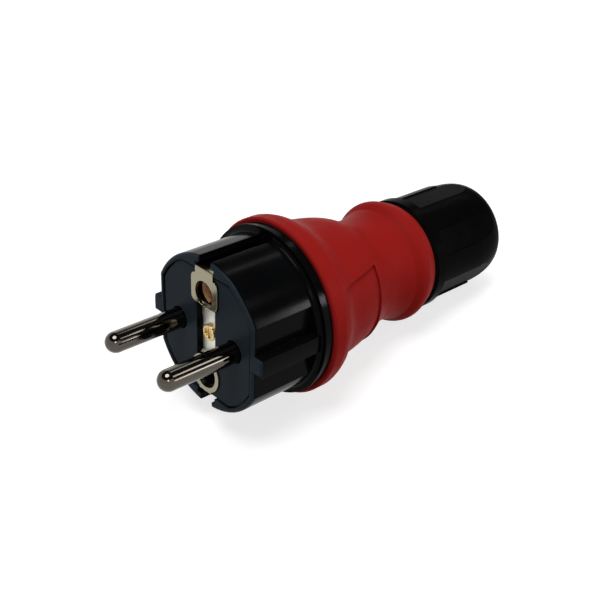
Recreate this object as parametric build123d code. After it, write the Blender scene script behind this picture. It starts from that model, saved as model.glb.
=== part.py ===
from build123d import *
from math import atan2, sqrt, tan
import os

# Rewirable two-pole plug with side earth contacts, an earth-pin socket and a screw gland.
# It lies along Y: the pins point to -Y, the cable leaves to +Y, and the earth contacts face
# +Z and -Z. The origin is the middle of the front face, between the pins. Millimetres.

# Clearances
fit = 0.1                 # between pieces that are assembled once
run = 0.3                 # between pieces that turn or slide on each other

# Contact pins
pin_spacing = 19.0
pin_d = 4.8
pin_reach = 19.0          # face to tip
pin_shank_d = 5.2         # thicker part inside the front wall
shank_taper = 0.6         # length of the cone between them

# Contact carrier: the black moulding that enters the socket
face_d = 37.0
barrel_length = 17.3      # face to flange
flat_depth = 2.1          # side flats, below the round of the barrel
rib_rise = 0.45           # guide ribs in the flats, above the round of the barrel
rib_width = 4.0
face_round = 0.8          # rounded edge round the face
recess_depth = 0.3        # middle of the face, below its border
recess_border = 1.15
recess_chord = 3.1        # straight top and bottom of the recess, below the round
line_width = 0.5          # sunk line round the recess
line_depth = 0.45
cove_r = 1.0              # hollow where the barrel meets the flange
flange_rise = 1.7
flange_t = 2.1
front_wall = 14.0         # face to the floor of the terminal pocket
neck_inset = 1.2          # ring behind the flange, below the round of the barrel
neck_wall = 3.3
neck_length = 4.6
lug_count = 3             # bayonet lugs on the neck
lug_rise = 0.8
lug_length = 1.5
lug_angle = 20.0
lug_entry = 24.0          # width of an entry slot for a lug, in degrees
lug_twist = 40.0          # turn from the entry slots to the locked place
barrier_t = 1.2           # insulating walls between the terminals
barrier_gap = 0.9
barrier_height = 19.0

# Earth strip: one bent strip across the face, with a contact leg at each end
strip_t = 0.8
strip_width = 6.1
strip_depth = 2.6         # face to the floor of the strip's slot
strip_margin = 0.2        # slot wall to strip, each side
seat_depth = 0.7          # face to the back of the plate and the eye
seat_margin = 0.15        # wall of their seat to the strip
plate_width = 8.9
plate_inner = 7.1         # inner end of the flat plate, from the axis
plate_corner = 1.5
ramp_length = 1.5         # slope from the strip up to the plate
eye_d = 9.4               # round eye at the lower end
earth_hole_at = 10.0      # earth-pin hole, from the axis
earth_hole_d = 6.1
eye_hole_d = 7.2
leg_inset = 2.5           # outside of the contact leg, below the round of the barrel
leg_width = 6.0
tail_width = 4.0          # leg at the lower end, which slopes out to its place
tail_inset = 1.2          # bend at the lower end, below the outside of the leg
tail_slope = 4.5          # face to the end of the slope
leg_length = 15.5
leg_shoulder = 1.8        # shoulder of the plate, below the outside of the leg
bend_r = 0.4
groove_mouth = 4.4        # opening of the earth groove along the barrel
groove_head = 0.8         # room over the contact leg, under the lips of the groove

# Earth-pin socket: a rolled spring sleeve, sunk behind the upper hole
sleeve_bore_d = 4.9
sleeve_wall = 0.45
sleeve_sink = 1.0         # back of the plate to the sleeve
sleeve_length = 10.5
sleeve_slit = 0.8

# Terminals: brass pillars with a wire window and a clamping screw
pillar_room = 0.7         # pillar corner to the wall of the pocket
pillar_height = 7.0
pillar_length = 16.0
earth_pillar_width = 6.4
window_width = 3.4
window_height = 4.0
window_depth = 9.0
clamp_t = 0.8
clamp_length = 7.0
clamp_screw_d = 3.5
clamp_head_d = 5.8
clamp_head_t = 2.2
clamp_head_edge = 0.35
clamp_screw_back = 4.0    # screw axis to the rear end of the pillar
clamp_lift = 0.4          # gap under the head of the clamping screw
driver_slot = 0.8
driver_depth = 0.8

# Screw that holds the earth strip to its terminal
strip_screw_d = 3.0
strip_head_d = 3.9
strip_head_t = 0.9
strip_screw_grip = 6.0    # thread inside the earth terminal
strip_head_round = 0.25
dish_d = 2.6              # shallow dish in the head, with a cross recess in it
dish_depth = 0.3
cross_width = 2.2
cross_depth = 0.6

# Sealing ring on the neck
ring_section = 1.5
ring_chamfer = 0.4
ring_groove = 1.8
ring_at = 0.9             # flange to groove

# Housing: the red moulding. Places are measured from its front
rim_rise = 1.0            # over the flange
rim_length = 3.0
rim_edge = 0.4
throat_drop = 2.7         # below the rim
throat_at = 8.6
grip_drop = 3.95
grip_at = 14.2
taper_rise = 2.2          # above the waist
taper_at = 20.6
waist_at = 28.6
crease_rise = 0.95        # foot of the collar's flank, above the waist
crease_at = 33.7
collar_rise = 2.25
collar_at = 35.9
crest_drop = 0.35         # where the flank runs into the crest of the collar
crest_lead = 0.9
collar_fall = 1.25        # from the crest of the collar to its rear edge
collar_edge = 0.5
housing_length = 40.7     # front to the rear face of the collar
housing_wall = 2.2
panel_depth = 0.5         # plain sunk label field on the side
panel_from = 5.5
panel_to = 19.8
panel_start = 57.2        # middle of its upper edge, in degrees from +Z towards +X
panel_sweep = 96.0
panel_slant = 10.0        # lean of its upper edge, in degrees

# Screw gland
gland_bore_d = 19.2
gland_seat = 1.45         # step between the housing's waist and the gland bore
spigot_wall = 1.8
spigot_length = 17.0
cage_wall = 1.6
cage_lead = 16.0          # length of the cage inside the spigot
cage_lip_t = 1.2
finger_count = 8
finger_rise = 0.6
finger_length = 4.8
finger_slot = 1.2
finger_taper = 0.9
cable_bore_d = 10.0
cable_seal_length = 20.0
cable_seal_lead = 1.5
thrust_rise = 0.7
thrust_t = 1.6
entry_d = 15.2
nut_wall = 1.35           # nut bore to a flat
flat_cut = 0.4            # depth of a flat below the round of the nut
nut_sides = 6
nut_turn = 1.5            # degrees that the flats are turned from +Z towards -X
land_rise = 0.4           # raised lands between the flats
land_angle = 30.0
land_length = 15.5
nut_ring_rise = 0.6       # smooth ring at the front of the nut, over the lands
nut_ring_edge = 0.8
nut_ring_length = 3.6
nut_ring_slope = 1.4
nut_length = 27.9
nut_taper = 0.6           # narrowing behind the lands
nut_end_round = 2.2
entry_chamfer = 1.0

# Radii
pin_r = pin_d / 2
shank_r = pin_shank_d / 2
face_r = face_d / 2
flat_x = face_r - flat_depth
flange_r = face_r + flange_rise
neck_r = face_r - neck_inset
pocket_r = neck_r - neck_wall
mouth_r = neck_r + 2 * fit
rim_r = flange_r + rim_rise
throat_r = rim_r - throat_drop
grip_r = rim_r - grip_drop
gland_r = gland_bore_d / 2
chamber_r = gland_r + gland_seat
waist_r = chamber_r + housing_wall
taper_r = waist_r + taper_rise
crease_r = waist_r + crease_rise
collar_r = waist_r + collar_rise
spigot_r = gland_r + spigot_wall
cage_r = gland_r - fit
cage_bore_r = cage_r - cage_wall
finger_r = cage_r + finger_rise
thrust_r = cage_r + thrust_rise
nut_bore_r = spigot_r + run
nut_flat_r = nut_bore_r + nut_wall
nut_r = nut_flat_r + flat_cut
land_r = nut_r + land_rise
nut_ring_r = land_r + nut_ring_rise
entry_r = entry_d / 2

# Places along the axis
flange_end = barrel_length + flange_t
neck_end = flange_end + neck_length
housing_y = flange_end + fit
lug_y = neck_end - lug_length
pillar_end = front_wall + pillar_length
clamp_y = pillar_end - clamp_screw_back
rim_end = housing_y + rim_length
throat_y = housing_y + throat_at
grip_y = housing_y + grip_at
taper_y = housing_y + taper_at
waist_y = housing_y + waist_at
crease_y = housing_y + crease_at
collar_y = housing_y + collar_at
collar_end = housing_y + housing_length
spigot_end = collar_end + spigot_length
finger_start = spigot_end + cage_lip_t
finger_end = finger_start + finger_length
thrust_y = finger_end + run
nut_front = collar_end + run
nut_end = nut_front + nut_length
nut_inner_end = thrust_y + thrust_t + fit

# Earth strip levels: Y of the front of the plate and of the strip, Z of the leg
plate_y = seat_depth - strip_t
strip_y = strip_depth - strip_t
leg_z = face_r - leg_inset
shoulder_z = leg_z - leg_shoulder
ramp_z = plate_inner - ramp_length
ramp_angle = atan2(strip_y - plate_y, ramp_length)
ramp_shift = strip_t * tan(ramp_angle / 2)
tail_z = leg_z - tail_inset
sleeve_r = sleeve_bore_d / 2 + sleeve_wall
sleeve_y = seat_depth + sleeve_sink

# Live terminals fill the pocket from the barrier to its wall
barrier_x = earth_pillar_width / 2 + barrier_gap + barrier_t / 2
pillar_in = barrier_x + barrier_t / 2 + barrier_gap
pillar_out = sqrt((pocket_r - pillar_room) ** 2 - (pillar_height / 2) ** 2)
pillar_width = pillar_out - pillar_in
pillar_x = (pillar_in + pillar_out) / 2


def prism(sketch, y_from, y_to):
    """A sketch seen from the front, X to the right and Z up, drawn out along Y."""
    front = Plane(origin=(0, y_from, 0), x_dir=(1, 0, 0), z_dir=(0, -1, 0))
    return extrude(front * sketch, amount=y_from - y_to)


def tube(outer_r, inner_r, y_from, y_to):
    """A plain ring about Y."""
    return prism(Circle(outer_r) - Circle(inner_r), y_from, y_to)


def rod(radius, y_from, y_to, x=0.0, z=0.0):
    """A plain cylinder along Y."""
    return prism(Pos(x, z) * Circle(radius), y_from, y_to)


def block(width, y_from, y_to, z_from, z_to, x=0.0):
    """A box between two planes each way, centred on x."""
    middle = Pos(x, (y_from + y_to) / 2, (z_from + z_to) / 2)
    return middle * Box(width, abs(y_to - y_from), abs(z_to - z_from))


def turned(outline):
    """A solid of revolution about Y; the outline is drawn in radius and Y."""
    return revolve(make_face(outline.edges()), Axis.Y)


def turned_part(sketch, start, sweep):
    """Part of a revolution about Y; angles run from +Z towards +X."""
    return Rot(0, start - 90, 0) * revolve(sketch, Axis.Y, revolution_arc=sweep)


def ring_section_sketch(inner_r, outer_r, y_from, y_to):
    """A rectangle in radius and Y, for part of a revolution."""
    middle = Pos((inner_r + outer_r) / 2, (y_from + y_to) / 2)
    return middle * Rectangle(outer_r - inner_r, y_to - y_from)


def strip_slot():
    """Room for the sunk middle of the earth strip and its two slopes."""
    half = plate_inner + ramp_shift + fit
    return block(strip_width + 2 * strip_margin, 0, strip_depth, -half, half)


def plate_sketch(margin):
    """Outline of the earth strip's plate and eye, moved out by a margin."""
    height = shoulder_z - plate_inner
    plate = RectangleRounded(plate_width + 2 * margin, height + 2 * margin, plate_corner + margin)
    eye = Circle(eye_d / 2 + margin)
    return Pos(0, plate_inner + height / 2) * plate + Pos(0, -earth_hole_at) * eye


def recess_sketch(inset):
    """Outline of the recess in the face, moved in by an inset."""
    half_width = flat_x - recess_border - inset
    half_height = face_r - recess_chord - inset
    return Circle(face_r - recess_border - inset) & Rectangle(2 * half_width, 2 * half_height)


def contact_carrier():
    """Black moulding: barrel with flats, guide ribs and earth grooves, flange and neck."""
    barrel = prism(Circle(face_r) & Rectangle(2 * flat_x, face_d), 0, flange_end)
    barrel = fillet(barrel.edges().group_by(Axis.Y)[0], face_round)
    rib_r = face_r + rib_rise
    ribs = prism(Circle(rib_r) & Rectangle(2 * rib_r, rib_width), 0, flange_end)
    ribs = chamfer(ribs.edges().group_by(Axis.Y)[0], face_round / 2)

    cove = min(cove_r, 0.8 * flange_rise)
    cove_y = barrel_length - cove
    flange = turned(
        Polyline((face_r, cove_y), (pocket_r, cove_y), (pocket_r, flange_end), (flange_r, flange_end),
                 (flange_r, barrel_length), (face_r + cove, barrel_length))
        + CenterArc((face_r + cove, cove_y), cove, 90, 90)
    )
    body = barrel + ribs + flange + rod(neck_r, flange_end, neck_end)
    lug_face = ring_section_sketch(pocket_r, neck_r + lug_rise, lug_y, neck_end)
    for lug in range(lug_count):
        body += turned_part(lug_face, lug * 360 / lug_count - lug_angle / 2, lug_angle)

    # Terminal pocket, with the insulating walls that stand in it
    body -= rod(pocket_r, front_wall, neck_end)
    for side in (-1, 1):
        half = barrier_height / 2
        body += block(barrier_t, front_wall, pillar_end + barrier_gap, -half, half, side * barrier_x)
    body -= tube(neck_r + lug_rise, neck_r - ring_section, flange_end + ring_at,
                 flange_end + ring_at + ring_groove)

    # Recess in the face, slot and seats of the earth strip, pin holes and screw hole
    body -= prism(recess_sketch(0), 0, recess_depth)
    body -= prism(recess_sketch(0) - recess_sketch(line_width), 0, recess_depth + line_depth)
    body -= prism(plate_sketch(seat_margin), 0, seat_depth)
    body -= block(leg_width + 2 * seat_margin, 0, seat_depth, earth_hole_at, leg_z)
    body -= strip_slot()
    for side in (-1, 1):
        body -= rod(shank_r + fit / 2, 0, front_wall, side * pin_spacing / 2)
    body -= rod(strip_screw_d / 2 + fit, 0, front_wall)

    # Earth grooves with lips, and the seats behind the two earth holes
    head_z = leg_z + groove_head
    floor_z = leg_z - strip_t - fit
    for up in (1, -1):
        body -= block(groove_mouth, 0, barrel_length, up * floor_z, up * (face_r + cove_r))
        body -= block(leg_width + 4 * fit, 0, barrel_length, up * floor_z, up * head_z)
        body -= rod(sleeve_r + fit / 2, 0, sleeve_y + sleeve_length + fit, 0, up * earth_hole_at)
    return body - block(tail_width + 4 * fit, 0, tail_slope, strip_t + fit - tail_z, -head_z)


def pin(side):
    """Turned pin with a domed tip and a thicker shank, in one piece with its terminal pillar."""
    x = side * pin_spacing / 2
    dome = pin_r - pin_reach
    shank = turned(
        CenterArc((0, dome), pin_r, -90, 90)
        + Polyline((pin_r, dome), (pin_r, recess_depth), (shank_r, recess_depth + shank_taper),
                   (shank_r, front_wall), (0, front_wall), (0, -pin_reach))
    )
    return Pos(x, 0, 0) * shank + pillar(pillar_width, side * pillar_x, 1)


def pillar(width, x, up):
    """Terminal pillar, with a wire window from the rear and a hole for its clamping screw."""
    half = pillar_height / 2
    solid = block(width, front_wall, pillar_end, -half, half, x)
    solid -= block(window_width, pillar_end - window_depth, pillar_end, -window_height / 2,
                   window_height / 2, x)
    hole = Cylinder(clamp_screw_d / 2 + fit / 2, half)
    return solid - Pos(x, clamp_y, up * half) * hole


def clamp_plate(x, up):
    """Pressure plate that lies in the window, under the clamping screw."""
    top = up * (window_height / 2 - fit)
    y_to = pillar_end - fit
    return block(window_width - 2 * fit, y_to - clamp_length, y_to, top - up * clamp_t, top, x)


def clamp_screw(x, up):
    """Slotted cheese-head screw that presses on the plate in the window."""
    tip = window_height / 2 - fit
    under_head = pillar_height / 2 + clamp_lift
    shank = Pos(0, 0, (tip + under_head) / 2) * Cylinder(clamp_screw_d / 2, under_head - tip)
    head = Pos(0, 0, under_head + clamp_head_t / 2) * Cylinder(clamp_head_d / 2, clamp_head_t)
    head = chamfer(head.edges().group_by(Axis.Z)[-1], clamp_head_edge)
    slot_z = under_head + clamp_head_t - driver_depth / 2
    screw = shank + head - Pos(0, 0, slot_z) * Box(clamp_head_d, driver_slot, driver_depth)
    turn = 0 if up > 0 else 180
    return Pos(x, clamp_y, 0) * Rot(0, turn, 0) * screw


def earth_strip():
    """Bent strip: sunk middle, a plate at the top, an eye at the bottom, two contact legs."""
    back_z = ramp_z + ramp_shift
    strip = block(strip_width, strip_y, strip_depth, -back_z, back_z)
    strip += prism(plate_sketch(0), plate_y, seat_depth)
    slope = [(strip_y, ramp_z), (strip_depth, back_z), (seat_depth, plate_inner + ramp_shift),
             (plate_y, plate_inner + ramp_shift), (plate_y, plate_inner)]
    for up, width, bend_z in ((1, leg_width, leg_z), (-1, tail_width, tail_z)):
        # Slope up to the plate, the tongue to the groove, and the leg that runs back in it
        leg = [(plate_y, earth_hole_at), (plate_y, bend_z), (tail_slope, leg_z), (leg_length, leg_z),
               (leg_length, leg_z - strip_t), (tail_slope, leg_z - strip_t),
               (seat_depth, bend_z - strip_t), (seat_depth, earth_hole_at)]
        for outline, across in ((slope, strip_width), (leg, width)):
            side = make_face(Polyline(*[(y, up * z) for y, z in outline], close=True).edges())
            bent = extrude(Plane.YZ * side, amount=across / 2, both=True)
            if outline is leg:
                front = bent.edges().filter_by(Axis.X).group_by(Axis.Y)[0]
                bent = fillet(front.sort_by(Axis.Z)[-1 if up > 0 else 0], bend_r)
            strip += bent
    strip -= rod(earth_hole_d / 2, plate_y, seat_depth, 0, earth_hole_at)
    strip -= rod(eye_hole_d / 2, plate_y, seat_depth, 0, -earth_hole_at)
    return strip - rod(strip_screw_d / 2 + fit, strip_y, strip_depth)


def earth_strip_screw():
    """Brass screw through the strip and the front wall into the earth terminal."""
    head_y = strip_y - strip_head_t
    tip_y = front_wall + strip_screw_grip
    head = rod(strip_head_d / 2, head_y, strip_y)
    head = fillet(head.edges().group_by(Axis.Y)[0], strip_head_round)
    head -= rod(dish_d / 2, head_y, head_y + dish_depth)
    for width, height in ((cross_width, driver_slot), (driver_slot, cross_width)):
        head -= block(width, head_y, head_y + cross_depth, -height / 2, height / 2)
    return head + rod(strip_screw_d / 2, strip_y, tip_y)


def earth_socket():
    """Rolled copper-alloy sleeve behind the upper hole, slit along its lower side."""
    y_to = sleeve_y + sleeve_length
    sleeve = tube(sleeve_r, sleeve_bore_d / 2, sleeve_y, y_to)
    sleeve -= block(sleeve_slit, sleeve_y, y_to, -sleeve_r, 0)
    return Pos(0, 0, earth_hole_at) * sleeve


def earth_terminal():
    """Brass earth pillar behind the front wall, tapped for the strip's screw."""
    return pillar(earth_pillar_width, 0, -1) - rod(strip_screw_d / 2 + fit / 2, front_wall,
                                                   front_wall + strip_screw_grip + fit)


def neck_seal():
    """Moulded rubber ring in the groove of the neck."""
    outer_r = neck_r + fit
    inner_r = outer_r - ring_section
    y_from = flange_end + ring_at + fit
    y_to = y_from + ring_groove - 2 * fit
    return turned(
        Polyline((inner_r, y_from), (outer_r - ring_chamfer, y_from), (outer_r, y_from + ring_chamfer),
                 (outer_r, y_to - ring_chamfer), (outer_r - ring_chamfer, y_to), (inner_r, y_to),
                 (inner_r, y_from))
    )


def body_sketch(offset):
    """Half section of the housing's tapered body, its outline moved out by an offset."""
    edge = Spline(
        (rim_r + offset, rim_end), (throat_r + offset, throat_y), (grip_r + offset, grip_y),
        (taper_r + offset, taper_y), (waist_r + offset, waist_y), tangents=((-0.2, 1), (0, 1)),
    )
    close = Polyline((waist_r + offset, waist_y), (0, waist_y), (0, rim_end), (rim_r + offset, rim_end))
    return make_face((edge + close).edges())


def housing():
    """Red moulding: rim, tapered grip, waist, collar and the spigot that takes the nut."""
    rear_r = collar_r - collar_fall
    edge_y = collar_end - collar_edge
    flank = Vector(collar_r - crest_drop, collar_y - crest_lead)
    collar = turned(
        Polyline((0, waist_y), (waist_r, waist_y))
        + Spline((waist_r, waist_y), (crease_r, crease_y), tangents=((0, 1), (0.3, 1)))
        + Line((crease_r, crease_y), flank)
        + Spline(flank, (collar_r, collar_y), (rear_r, edge_y),
                 tangents=(flank - Vector(crease_r, crease_y), (-0.4, 1)))
        + CenterArc((rear_r - collar_edge, edge_y), collar_edge, 0, 90)
        + Polyline((rear_r - collar_edge, collar_end), (0, collar_end), (0, waist_y))
    )
    rim = turned(
        Polyline((0, housing_y), (rim_r - rim_edge, housing_y), (rim_r, housing_y + rim_edge),
                 (rim_r, rim_end), (0, rim_end), (0, housing_y))
    )
    shell = rim + revolve(body_sketch(0), Axis.Y) + collar + rod(spigot_r, collar_end, spigot_end)

    # Label field: a skin taken off part of the taper, its upper edge aslant
    field_y = housing_y + (panel_from + panel_to) / 2
    field_length = panel_to - panel_from
    skin = body_sketch(panel_depth) - body_sketch(-panel_depth)
    skin &= Pos(rim_r / 2, field_y) * Rectangle(2 * rim_r, field_length)
    field = turned_part(skin, panel_start - panel_slant, panel_sweep + panel_slant)
    edge = Rot(0, panel_start, 0) * Pos(0, field_y, 0) * Rot(0, 0, panel_slant)
    shell -= field - edge * Pos(-rim_r / 2, 0, rim_r) * Box(rim_r, 2 * field_length, 2 * rim_r)

    # Hollow: mouth, tapered chamber and gland bore, then the bayonet track
    mouth_end = neck_end + 6 * fit
    chamber = turned(
        Polyline((0, housing_y), (mouth_r, housing_y), (mouth_r, mouth_end),
                 (throat_r - housing_wall, throat_y), (grip_r - housing_wall, grip_y),
                 (taper_r - housing_wall, taper_y), (chamber_r, waist_y), (chamber_r, collar_y),
                 (gland_r, collar_y), (gland_r, spigot_end), (0, spigot_end), (0, housing_y))
    )
    shell -= chamber
    track_r = neck_r + lug_rise + 2 * fit
    shell -= tube(track_r, mouth_r - fit, lug_y - fit, neck_end + fit)
    entry = ring_section_sketch(mouth_r - fit, track_r + fit, housing_y, lug_y)
    for lug in range(lug_count):
        middle = lug * 360 / lug_count - lug_twist
        shell -= turned_part(entry, middle - lug_entry / 2, lug_entry)
    return shell


def clamping_cage():
    """Plastic collet: a sleeve in the spigot, a lip on its end, and a ring of fingers."""
    y_from = spigot_end - cage_lead
    tip_r = finger_r - finger_taper
    cage = turned(
        Polyline((cage_bore_r, y_from), (cage_r, y_from), (cage_r, spigot_end), (spigot_r - fit, spigot_end),
                 (spigot_r - fit, finger_start), (finger_r, finger_start), (tip_r, finger_end),
                 (cage_bore_r, finger_end), (cage_bore_r, y_from))
    )
    for slot in range(finger_count):
        cut = block(finger_slot, finger_start, finger_end, 0, finger_r)
        cage -= Rot(0, slot * 360 / finger_count, 0) * cut
    return cage


def cable_seal():
    """Rubber sleeve in the cage that closes on the cable."""
    outer_r = cage_bore_r - fit
    bore_r = cable_bore_d / 2
    y_to = finger_end - fit
    y_from = y_to - cable_seal_length
    lead = min(cable_seal_lead, 0.8 * (outer_r - bore_r))
    return turned(
        Polyline((bore_r, y_from), (outer_r, y_from), (outer_r, y_to), (bore_r + lead, y_to),
                 (bore_r, y_to - lead), (bore_r, y_from))
    )


def thrust_ring():
    """Slip ring between the nut and the fingers: it slides with the nut and does not turn."""
    return tube(thrust_r, entry_r, thrust_y, thrust_y + thrust_t)


def gland_nut():
    """Black cap nut: smooth front ring, six flats between raised lands, rounded rear end."""
    ring_end = nut_front + nut_ring_length
    slope_end = ring_end + nut_ring_slope
    seat_r = thrust_r + run
    seat_y = finger_start + run
    land_end = ring_end + land_length
    round_y = nut_end - nut_end_round
    tail_r = nut_r - nut_taper
    grip = turned(
        Polyline((0, ring_end), (nut_r, ring_end), (nut_r, land_end))
        + Spline((nut_r, land_end), (tail_r, round_y), tangents=((0, 1), (-nut_taper / nut_end_round, 1)))
        + Spline((tail_r, round_y), (tail_r - nut_end_round, nut_end),
                 tangents=((-nut_taper / nut_end_round, 1), (-1, 0)))
        + Polyline((tail_r - nut_end_round, nut_end), (0, nut_end), (0, ring_end))
    )
    flats = RegularPolygon(nut_flat_r, nut_sides, major_radius=False, rotation=nut_turn)
    nut = grip & prism(flats, ring_end, nut_end)
    land = ring_section_sketch(nut_bore_r + nut_wall / 2, land_r, ring_end, land_end)
    pitch = 360 / nut_sides
    for side in range(nut_sides):
        middle = (side + 0.5) * pitch - nut_turn
        nut += turned_part(land, middle - land_angle / 2, land_angle)
    nut += turned(
        Polyline((0, nut_front), (nut_ring_r - nut_ring_edge, nut_front),
                 (nut_ring_r, nut_front + nut_ring_edge), (nut_ring_r, ring_end), (nut_flat_r, slope_end),
                 (0, slope_end), (0, nut_front))
    )
    bore = turned(
        Polyline((0, nut_front), (nut_bore_r, nut_front), (nut_bore_r, seat_y), (seat_r, seat_y),
                 (seat_r, nut_inner_end), (entry_r, nut_inner_end), (entry_r, nut_end - entry_chamfer),
                 (entry_r + entry_chamfer, nut_end), (0, nut_end), (0, nut_front))
    )
    return nut - bore


parts = {
    "contact_carrier": contact_carrier(),
    "pin_left": pin(-1),
    "pin_right": pin(1),
    "clamp_plate_left": clamp_plate(-pillar_x, 1),
    "clamp_plate_right": clamp_plate(pillar_x, 1),
    "clamp_screw_left": clamp_screw(-pillar_x, 1),
    "clamp_screw_right": clamp_screw(pillar_x, 1),
    "earth_strip": earth_strip(),
    "earth_strip_screw": earth_strip_screw(),
    "earth_socket": earth_socket(),
    "earth_terminal": earth_terminal(),
    "earth_clamp_plate": clamp_plate(0, -1),
    "earth_clamp_screw": clamp_screw(0, -1),
    "neck_seal": neck_seal(),
    "housing": housing(),
    "clamping_cage": clamping_cage(),
    "cable_seal": cable_seal(),
    "thrust_ring": thrust_ring(),
    "gland_nut": gland_nut(),
}

os.makedirs("parts", exist_ok=True)
for name, solid in parts.items():
    export_step(solid, f"parts/{name}.step")
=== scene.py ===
import bmesh
import bpy
import math
from mathutils import Matrix, Vector


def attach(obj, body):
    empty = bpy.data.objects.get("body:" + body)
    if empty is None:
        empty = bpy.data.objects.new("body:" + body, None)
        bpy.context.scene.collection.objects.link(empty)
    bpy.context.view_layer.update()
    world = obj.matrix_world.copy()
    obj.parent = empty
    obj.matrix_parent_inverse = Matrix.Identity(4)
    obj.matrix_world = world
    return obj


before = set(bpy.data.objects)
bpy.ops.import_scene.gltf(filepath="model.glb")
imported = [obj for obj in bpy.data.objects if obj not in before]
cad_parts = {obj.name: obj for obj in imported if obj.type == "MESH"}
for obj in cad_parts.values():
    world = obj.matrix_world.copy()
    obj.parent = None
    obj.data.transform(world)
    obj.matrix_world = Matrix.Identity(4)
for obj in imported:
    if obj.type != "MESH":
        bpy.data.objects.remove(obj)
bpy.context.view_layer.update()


# Contact carrier: the black moulding that enters the socket, with side flats, guide ribs and
# Moulded in a hard plastic: the barrel comes glossy out of a polished mould, the
# face is left with a fine matt grain, and edges are rubbed a little greyer. The face's slate grey
# colour is partly that grain and partly a painted reflection of the pale floor in front of it.
carrier_black = (0.0016, 0.0017, 0.0019)
carrier_rubbed = (0.005, 0.0054, 0.006)
face_grain_and_painted_reflection = (0.016, 0.0235, 0.031)
face_rough = 0.36
face_fades_in = 0.000504
face_full = 0.000336


def add_node(tree, kind, **values):
    """One shader node, with its settings and its unlinked input values."""
    node = tree.nodes.new(kind)
    for name, value in values.items():
        if hasattr(node, name):
            setattr(node, name, value)
        else:
            node.inputs[name.replace("_", " ").title()].default_value = value
    return node


def add_cloud(tree, size, low, high, stretch=(1, 1, 1), detail=3.0):
    """Uneven field in the object's own space, its features about size metres, scaled to low..high."""
    place = add_node(tree, "ShaderNodeTexCoord")
    scale = add_node(tree, "ShaderNodeMapping", scale=[s / size for s in stretch])
    noise = add_node(tree, "ShaderNodeTexNoise", scale=1.0, detail=detail)
    level = add_node(tree, "ShaderNodeMapRange", from_min=0.3, from_max=0.7, to_min=low, to_max=high)
    tree.links.new(place.outputs["Object"], scale.inputs["Vector"])
    tree.links.new(scale.outputs["Vector"], noise.inputs["Vector"])
    tree.links.new(noise.outputs["Fac"], level.inputs["Value"])
    return level.outputs["Result"]


def add_edges(tree, width):
    """Rounded normal for the edges, and a mask that is 1 on them and 0 on open faces."""
    rounded = add_node(tree, "ShaderNodeBevel", samples=4, radius=width)
    face = add_node(tree, "ShaderNodeNewGeometry")
    turn = add_node(tree, "ShaderNodeVectorMath", operation="DOT_PRODUCT")
    mask = add_node(tree, "ShaderNodeMapRange", from_min=0.99, from_max=0.8)
    tree.links.new(rounded.outputs["Normal"], turn.inputs[0])
    tree.links.new(face.outputs["Normal"], turn.inputs[1])
    tree.links.new(turn.outputs["Value"], mask.inputs["Value"])
    return rounded.outputs["Normal"], mask.outputs["Result"]


def add_finish(name, metal, gloss_level):
    """A material with its main shader, as metal or as plastic."""
    made = bpy.data.materials.new(name)
    made.use_nodes = True
    skin = made.node_tree.nodes["Principled BSDF"]
    skin.inputs["Metallic"].default_value = metal
    skin.inputs["Specular IOR Level"].default_value = gloss_level
    return made, made.node_tree, skin


def add_shade(tree, skin, colour, worn, factor):
    """Base colour, from the clean colour to the worn one."""
    shade = add_node(tree, "ShaderNodeMix", data_type="RGBA")
    shade.inputs["A"].default_value = (*colour, 1)
    shade.inputs["B"].default_value = (*worn, 1)
    tree.links.new(factor, shade.inputs["Factor"])
    tree.links.new(shade.outputs["Result"], skin.inputs["Base Color"])


def add_relief(tree, skin, height, depth, normal):
    """Fine relief of a depth in metres, on top of the rounded edges."""
    bump = add_node(tree, "ShaderNodeBump", strength=1.0, distance=depth)
    tree.links.new(height, bump.inputs["Height"])
    tree.links.new(normal, bump.inputs["Normal"])
    tree.links.new(bump.outputs["Normal"], skin.inputs["Normal"])


def moulded(name, colour, rubbed, rough, grain, depth, gloss_level, edge=0.00015):
    """Moulded skin: cloudy shade, uneven gloss, a fine grain, and rubbed edges."""
    made, tree, skin = add_finish(name, metal=0.0, gloss_level=gloss_level)
    normal, edges = add_edges(tree, edge)
    wear = add_node(tree, "ShaderNodeMath", operation="MULTIPLY")
    cloud = add_node(tree, "ShaderNodeMath", operation="ADD", use_clamp=True)
    tree.links.new(edges, wear.inputs[0])
    tree.links.new(add_cloud(tree, size=0.0025, low=0.0, high=0.9), wear.inputs[1])
    tree.links.new(wear.outputs["Value"], cloud.inputs[0])
    tree.links.new(add_cloud(tree, size=0.012, low=0.0, high=0.22), cloud.inputs[1])
    add_shade(tree, skin, colour, rubbed, cloud.outputs["Value"])
    polish = add_cloud(tree, size=0.004, low=rough * 0.85, high=rough * 1.15)
    tree.links.new(polish, skin.inputs["Roughness"])
    add_relief(tree, skin, add_cloud(tree, size=grain, low=0.0, high=1.0, detail=2.0), depth, normal)
    return made


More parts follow.
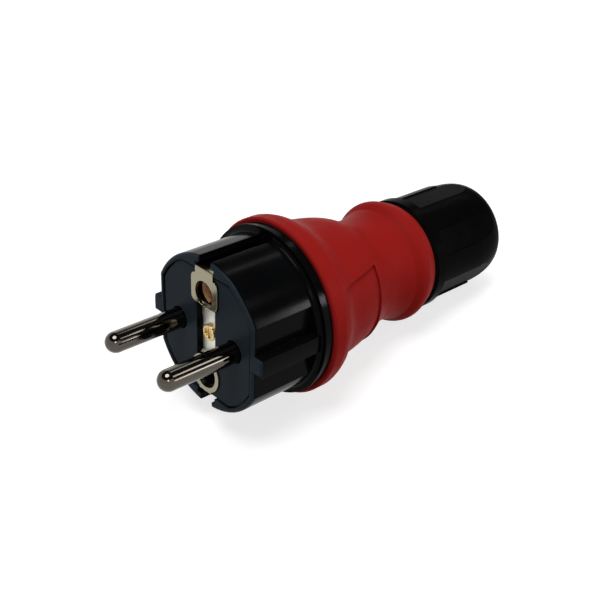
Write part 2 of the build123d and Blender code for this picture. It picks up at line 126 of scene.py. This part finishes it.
def add_zone(finish, axis, start, full, colour, rough):
    """Another colour and polish from start to full, distances along an axis from the face's middle."""
    tree = finish.node_tree
    skin = tree.nodes["Principled BSDF"]
    place = add_node(tree, "ShaderNodeTexCoord")
    split = add_node(tree, "ShaderNodeSeparateXYZ")
    away = add_node(tree, "ShaderNodeMath", operation="ABSOLUTE")
    zone = add_node(tree, "ShaderNodeMapRange", from_min=start, from_max=full)
    tree.links.new(place.outputs["Object"], split.inputs["Vector"])
    tree.links.new(split.outputs[axis], away.inputs[0])
    tree.links.new(away.outputs["Value"], zone.inputs["Value"])
    for socket, kind, value in (("Base Color", "RGBA", (*colour, 1)), ("Roughness", "FLOAT", rough)):
        mix = add_node(tree, "ShaderNodeMix", data_type=kind)
        ends = [port for port in mix.inputs if port.enabled and port.name in ("A", "B")]
        tree.links.new(skin.inputs[socket].links[0].from_socket, ends[0])
        ends[1].default_value = value
        tree.links.new(zone.outputs["Result"], mix.inputs["Factor"])
        tree.links.new([port for port in mix.outputs if port.enabled][0], skin.inputs[socket])


def dress(finish, *names):
    """Gives CAD nodes their finish."""
    for name in names:
        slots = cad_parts[name].data.materials
        slots.clear()
        slots.append(finish)


carrier_plastic = moulded("carrier_plastic", carrier_black, carrier_rubbed, rough=0.17, grain=0.0009,
                          depth=0.000002, gloss_level=0.026)
# Painted reflection: the face gets a slate grey base colour that stands partly for its matt grain and
# partly for the pale floor mirrored in it.
add_zone(carrier_plastic, "Y", face_fades_in, face_full, face_grain_and_painted_reflection, face_rough)
dress(carrier_plastic, "contact_carrier")


# Contact pins: turned brass, polished and nickel plated, each in one piece with the terminal
# pillar that its wire is clamped in. The plate has fine turning lines and a warm cast where it has
# worn thin. Its colour, and the worn cast's too, is painted far darker than bright nickel: painted
# shade for the dark surroundings that the pins reflect.
pin_nickel_painted_dark = (0.082, 0.0755, 0.068)
pin_worn_cast_painted_dark = (0.098, 0.078, 0.052)


def plated(name, colour, worn, rough, lines, depth, metal=1.0, edge=0.00012):
    """Metal skin: a cast of the metal under it, uneven polish, and fine lines left by the tool."""
    made, tree, skin = add_finish(name, metal=metal, gloss_level=0.5)
    normal, edges = add_edges(tree, edge)
    wear = add_node(tree, "ShaderNodeMath", operation="ADD", use_clamp=True)
    tree.links.new(add_cloud(tree, size=0.006, low=0.0, high=0.4), wear.inputs[0])
    tree.links.new(edges, wear.inputs[1])
    add_shade(tree, skin, colour, worn, wear.outputs["Value"])
    polish = add_cloud(tree, size=0.0007, low=rough * 0.85, high=rough * 1.2)
    tree.links.new(polish, skin.inputs["Roughness"])
    add_relief(tree, skin, add_cloud(tree, size=0.0012, low=0.0, high=1.0, stretch=lines), depth, normal)
    return made


dress(
    plated("pin_plate", pin_nickel_painted_dark, pin_worn_cast_painted_dark, rough=0.07, lines=(0.4, 5, 0.4), depth=0.0000015),
    "pin_left", "pin_right",
)


# Earth strip: one pressed strip of sheet brass, bent into a plate, an eye and two contact legs,
# nickel plated. It lies in its slot in the face and is held by one screw. The middle is satin, the
# legs are polished, and on the plate and the eye the nickel has worn thin and lets the brass through.
strip_nickel = (0.78, 0.77, 0.72)
strip_worn = (0.72, 0.66, 0.52)
leg_nickel = (0.42, 0.4, 0.34)
leg_rough = 0.13
leg_fades_in = 0.013
leg_full = 0.0145
plate_brass = (0.272, 0.248, 0.172)
plate_rough = 0.2
plate_fades_in = 0.0013
plate_full = 0.0009
strip_plating = plated("strip_plating", strip_nickel, strip_worn, rough=0.42, lines=(8, 1.5, 1.5),
                       depth=0.0000015)
add_zone(strip_plating, "Z", leg_fades_in, leg_full, leg_nickel, leg_rough)
add_zone(strip_plating, "Y", plate_fades_in, plate_full, plate_brass, plate_rough)
dress(strip_plating, "earth_strip")


# Earth strip's screw and the earth pillar that it is driven into: the screw is turned and the pillar
# cut from bar, both in bare brass, dulled by handling. The pillar takes the earth wire.
screw_brass = (0.62, 0.47, 0.22)
screw_dull = (0.42, 0.31, 0.15)
dress(
    plated("bare_brass", screw_brass, screw_dull, rough=0.3, lines=(2, 2, 2), depth=0.000004),
    "earth_strip_screw", "earth_terminal",
)


# Earth-pin socket: a sleeve rolled from copper-coloured spring sheet, slit along one side and
# pushed into the carrier behind the upper hole. Deeper in the hole its colour turns dark: painted
# shade, where little light gets in.
sleeve_copper = (0.75, 0.42, 0.2)
sleeve_dark = (0.5, 0.26, 0.12)
sleeve_painted_deep_shade = (0.05, 0.026, 0.012)
sleeve_rough = 0.6
deep_fades_in = 0.003
deep_full = 0.0042
spring_copper = plated("spring_copper", sleeve_copper, sleeve_dark, sleeve_rough, lines=(0.5, 4, 0.5),
                       depth=0.000002, metal=0.35)
# Painted shade: from 3 mm into the hole on, the sleeve's colour goes dark.
add_zone(spring_copper, "Y", deep_fades_in, deep_full, sleeve_painted_deep_shade, sleeve_rough)
dress(spring_copper, "earth_socket")


# Wire clamps: steel screws through the sides of the pillars, and the plates that they press on the
# wires in the pillars' windows. Zinc plated, and out of sight inside the housing.
clamp_zinc = (0.55, 0.56, 0.58)
clamp_dull = (0.4, 0.39, 0.37)
dress(
    plated("zinc_plate", clamp_zinc, clamp_dull, rough=0.34, lines=(1, 1, 1), depth=0.000004),
    "clamp_plate_left", "clamp_plate_right", "earth_clamp_plate",
    "clamp_screw_left", "clamp_screw_right", "earth_clamp_screw",
)


# Seals: a moulded rubber ring on the carrier's neck, and the rubber sleeve that the gland
# closes on the cable. Matt, with a dusty bloom on the edges.
seal_black = (0.012, 0.012, 0.012)
seal_bloom = (0.05, 0.05, 0.048)
seal_rubber = moulded("seal_rubber", seal_black, seal_bloom, rough=0.7, grain=0.0004,
                      depth=0.00001, gloss_level=0.25)
dress(seal_rubber, "neck_seal", "cable_seal")


# Housing: the red moulding that the hand holds, with a sunk plain field on its side. It twists
# on to the carrier's neck and carries the spigot of the gland. Fine satin skin, less glossy than
# the carrier's barrel, a shade duller where it is handled.
housing_red = (0.238, 0.0092, 0.0075)
housing_dull = (0.22, 0.0114, 0.0096)
housing_plastic = moulded("housing_plastic", housing_red, housing_dull, rough=0.46, grain=0.0005,
                          depth=0.000008, gloss_level=0.016)
dress(housing_plastic, "housing")


# Thread: the coarse right-hand ridge on the housing's spigot that the gland nut runs on. Moulded in
# one with the housing, low and flat topped, running out at both ends. It shows when the nut is open.
thread_pitch = 0.003
thread_root_r = 0.01135
thread_height = 0.0003
thread_start = 0.0609
thread_turns = 4.8
thread_steps = 72  # in a turn
thread_run_out = 12  # steps at each end
thread_side = 0.00025
thread_land = 0.0008
thread_end = round(thread_turns * thread_steps)


def add_mesh(name, shape, finish):
    """An object of its own from a finished mesh."""
    mesh = bpy.data.meshes.new(name)
    shape.to_mesh(mesh)
    shape.free()
    mesh.materials.append(finish)
    made = bpy.data.objects.new(name, mesh)
    bpy.context.scene.collection.objects.link(made)
    return made


ridge = bmesh.new()
sections = []
for step in range(thread_end + 1):
    angle = math.tau * step / thread_steps
    crest = thread_height * min(1, step / thread_run_out, (thread_end - step) / thread_run_out)
    foot = thread_start + thread_pitch * step / thread_steps
    outline = (
        (foot, thread_root_r),
        (foot + thread_side, thread_root_r + crest),
        (foot + thread_side + thread_land, thread_root_r + crest),
        (foot + 2 * thread_side + thread_land, thread_root_r),
    )
    sections.append([ridge.verts.new((math.sin(angle) * r, y, math.cos(angle) * r)) for y, r in outline])
for near, far in zip(sections, sections[1:]):
    for k in range(len(near)):
        ridge.faces.new((near[k], near[k - 1], far[k - 1], far[k]))
ridge.faces.new(sections[0])
ridge.faces.new(reversed(sections[-1]))
bmesh.ops.recalc_face_normals(ridge, faces=ridge.faces)
thread = add_mesh("spigot_thread", ridge, housing_plastic)
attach(thread, "shell")


# Inner gland parts: a collet in the spigot, whose fingers close on the seal as the nut is tightened,
# and the slip ring between the fingers and the nut. Both are moulded in pale nylon.
gland_pale = (0.5, 0.48, 0.43)
gland_rubbed = (0.6, 0.58, 0.53)
gland_nylon = moulded("gland_nylon", gland_pale, gland_rubbed, rough=0.5, grain=0.0006,
                      depth=0.000006, gloss_level=0.4)
dress(gland_nylon, "clamping_cage", "thrust_ring")


# Gland nut: black cap nut with flats for the fingers and raised lands between them. Moulded in
# a satin plastic, screwed on to the housing's spigot.
nut_black = (0.0016, 0.0016, 0.0018)
nut_rubbed = (0.006, 0.006, 0.0064)
nut_plastic = moulded("nut_plastic", nut_black, nut_rubbed, rough=0.26, grain=0.0006,
                      depth=0.000004, gloss_level=0.007)
dress(nut_plastic, "gland_nut")


# Floor: a wide sheet of pale paper, which the plug lies on with the housing's rim and the nut's rear
# end, so that its axis is tipped. Far off, in front of the pins and at the sides, the sheet curves up
# into a round wall. Seen directly or in a reflection it shows white, away from the plug's shadow.
rim_rest = Vector((0, 0.0225, -0.0212))
nut_rest = Vector((0, 0.0862, -0.01285))
floor_rings = (1.0, 3.0)
sweep_r = 1.0
sweep_steps = 12
wall_height = 3.0
wall_half_turn = 110  # degrees to each side of the front
wall_end = 20  # degrees in which the wall sinks to the floor
floor_sectors = 72
floor_pale = (0.42, 0.42, 0.42, 1)
floor_lift = 0.7
wall_lift = 1.0
lift_near = 0.3
lift_far = 1.2
floor_back = (nut_rest - rim_rest).normalized()
floor_across = Vector((1, 0, 0))
floor_up = floor_across.cross(floor_back)
spoke = [(ring, 0.0) for ring in floor_rings]
for step in range(1, sweep_steps + 1):
    bend = math.radians(90 * step / sweep_steps)
    spoke.append((floor_rings[-1] + sweep_r * math.sin(bend), sweep_r * (1 - math.cos(bend))))
spoke.append((floor_rings[-1] + sweep_r, wall_height))
sheet = bmesh.new()
centre = sheet.verts.new(rim_rest)
spokes = []
for sector in range(floor_sectors):
    heading = 360 * sector / floor_sectors - 180
    share = min(1, max(0, (wall_half_turn + wall_end - abs(heading)) / wall_end))
    outward = floor_across * math.sin(math.radians(heading)) - floor_back * math.cos(math.radians(heading))
    points = [rim_rest + outward * reach + floor_up * height * share for reach, height in spoke]
    spokes.append([sheet.verts.new(point) for point in points])
for near, far in zip(spokes, spokes[1:] + spokes[:1]):
    sheet.faces.new((centre, near[0], far[0]))
    for k in range(len(spoke) - 1):
        sheet.faces.new((near[k], near[k + 1], far[k + 1], far[k])).smooth = True
bmesh.ops.recalc_face_normals(sheet, faces=sheet.faces)
floor_paper, floor_tree, floor_skin = add_finish("floor_paper", metal=0.0, gloss_level=0.2)
floor_skin.inputs["Base Color"].default_value = floor_pale
floor_skin.inputs["Emission Color"].default_value = (1, 1, 1, 1)
paper_grain = add_cloud(floor_tree, size=0.002, low=0.85, high=0.95)
floor_tree.links.new(paper_grain, floor_skin.inputs["Roughness"])
spot = add_node(floor_tree, "ShaderNodeTexCoord")
distance = add_node(floor_tree, "ShaderNodeVectorMath", operation="LENGTH")
lift = add_node(floor_tree, "ShaderNodeMapRange", from_min=lift_near, from_max=lift_far,
                to_min=floor_lift, to_max=wall_lift)
floor_tree.links.new(spot.outputs["Object"], distance.inputs[0])
floor_tree.links.new(distance.outputs["Value"], lift.inputs["Value"])
ray = add_node(floor_tree, "ShaderNodeLightPath")
seen = add_node(floor_tree, "ShaderNodeMath", operation="ADD", use_clamp=True)
seen_or_through = add_node(floor_tree, "ShaderNodeMath", operation="ADD", use_clamp=True)
shown = add_node(floor_tree, "ShaderNodeMath", operation="MULTIPLY")
floor_tree.links.new(ray.outputs["Is Camera Ray"], seen.inputs[0])
floor_tree.links.new(ray.outputs["Is Glossy Ray"], seen.inputs[1])
floor_tree.links.new(seen.outputs["Value"], seen_or_through.inputs[0])
floor_tree.links.new(ray.outputs["Is Transmission Ray"], seen_or_through.inputs[1])
floor_tree.links.new(seen_or_through.outputs["Value"], shown.inputs[0])
floor_tree.links.new(lift.outputs["Result"], shown.inputs[1])
floor_tree.links.new(shown.outputs["Value"], floor_skin.inputs["Emission Strength"])
floor = add_mesh("floor", sheet, floor_paper)


# Studio light: one large soft lamp overhead, a little in front, a weaker one behind on the left, a
# smaller one for the holes in the face, and narrow ones behind the plug that draw the long highlights
# on its round sides and its pins. A dim grey room fills the rest.
room_grey = (0.05, 0.0512, 0.0533, 1)
plug_middle = Vector((0, 0.035, 0))
room = bpy.data.worlds.new("room")
room.use_nodes = True
room.node_tree.nodes["Background"].inputs["Color"].default_value = room_grey
bpy.context.scene.world = room


def add_lamp(name, towards, distance, around, along, power):
    """Flat lamp that faces the middle of the plug, with its size around the plug and along it."""
    light = bpy.data.lights.new(name, "AREA")
    light.shape = "ELLIPSE"
    light.size = around
    light.size_y = along
    light.energy = power
    lamp = bpy.data.objects.new(name, light)
    out = Vector(towards).normalized()
    side = Vector((0, 1, 0)).cross(out).normalized()
    turned = Matrix((side, out.cross(side), out)).transposed().to_4x4()
    lamp.matrix_world = Matrix.Translation(plug_middle + out * distance) @ turned
    lamp.visible_camera = False
    bpy.context.scene.collection.objects.link(lamp)


add_lamp("lamp_key", towards=(0.04, -0.25, 0.97), distance=1.6, around=1.0, along=1.0, power=23.0)
add_lamp("lamp_front", towards=(0.7, -0.52, 0.49), distance=1.2, around=0.3, along=0.3, power=2.4)
add_lamp("lamp_rear", towards=(-0.72, 0.58, 0.42), distance=1.8, around=1.2, along=1.2, power=4.2)
add_lamp("lamp_top", towards=(-0.2, 0.62, 0.76), distance=0.6, around=0.06, along=0.34, power=0.2)
add_lamp("lamp_side", towards=(0.762, 0.6, 0.29), distance=0.6, around=0.11, along=0.06, power=0.85)
add_lamp("lamp_pin_top", towards=(-0.28, 0.43, 0.85), distance=0.6, around=0.2, along=0.08, power=0.035)
add_lamp("lamp_pin_high", towards=(0.547, 0.43, 0.672), distance=0.6, around=0.14, along=0.08, power=0.16)
add_lamp("lamp_pin_low", towards=(0.85, 0.43, 0.14), distance=0.6, around=0.1, along=0.08, power=0.18)


# Camera: a 60 mm lens on a sensor 36 mm wide, above and to the right of the pins, rolled a little.
# Its place and angles follow the outlines of the pins, the face, the flange and the rim.
azimuth = math.radians(46.428)
elevation = math.radians(29.163)
roll = math.radians(2.314)
camera_place = Vector((0.149008, -0.113555, 0.113483))
backward = Vector((
    math.sin(azimuth) * math.cos(elevation),
    -math.cos(azimuth) * math.cos(elevation),
    math.sin(elevation),
))
level_right = Vector((0, 0, 1)).cross(backward).normalized()
level_up = backward.cross(level_right)
rolled_right = level_right * math.cos(roll) + level_up * math.sin(roll)
rolled_up = level_up * math.cos(roll) - level_right * math.sin(roll)
lens = bpy.data.cameras.new("camera")
lens.lens = 60
lens.sensor_width = 36
lens.clip_start = 0.01
camera = bpy.data.objects.new("camera", lens)
camera_turn = Matrix((rolled_right, rolled_up, backward)).transposed().to_4x4()
camera.matrix_world = Matrix.Translation(camera_place) @ camera_turn
bpy.context.scene.collection.objects.link(camera)
bpy.context.scene.camera = camera

bpy.context.scene.view_settings.view_transform = "Standard"
